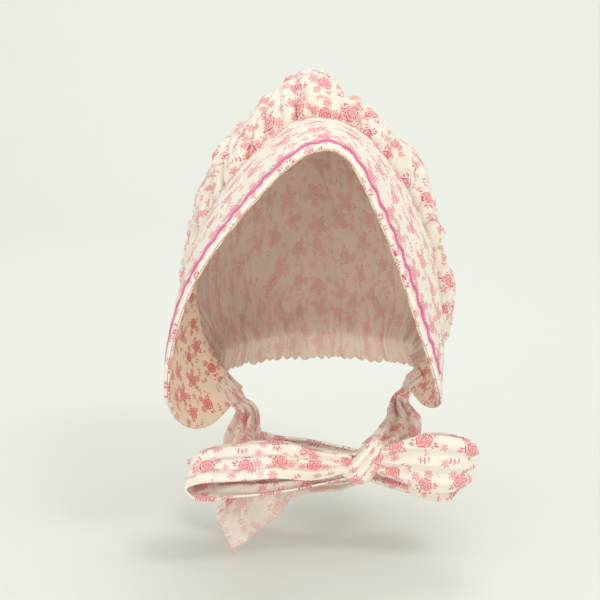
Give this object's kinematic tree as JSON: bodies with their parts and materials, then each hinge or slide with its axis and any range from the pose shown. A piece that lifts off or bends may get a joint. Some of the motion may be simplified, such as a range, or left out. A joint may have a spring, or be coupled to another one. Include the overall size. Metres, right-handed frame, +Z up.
{
  "type": "prairie bonnet",
  "caption": "Cotton bonnet with a stiff deep brim that frames the face, a full gathered crown, wavy braid along the edge and ties knotted in a bow under the chin.",
  "frame": {"origin": "top of the head inside the crown, where the bonnet sits; the arch's top is 17 mm above it", "axes": "+Z up, the wearer looks along -Y, +X is to the right when the bonnet is seen from the front (the wearer's left)"},
  "size_m": [0.2084, 0.2489, 0.3081],
  "materials": {
    "printed_cotton": "fine plain-weave cotton, cream with a small pink rose print",
    "lining_cotton": "the same printed cotton, in the brim's shade",
    "pink_braid": "woven wavy braid, bright pink"
  },
  "bodies": {
    "root": {"crown": "printed_cotton", "brim": "printed_cotton", "brim_lining": "lining_cotton", "rickrack": "pink_braid", "tie_left": "printed_cotton", "tie_right": "printed_cotton", "bow_knot": "printed_cotton", "bow_loop_left": "printed_cotton", "bow_loop_right": "printed_cotton", "bow_tail_left": "printed_cotton", "bow_tail_right": "printed_cotton"}
  },
  "joints": []
}
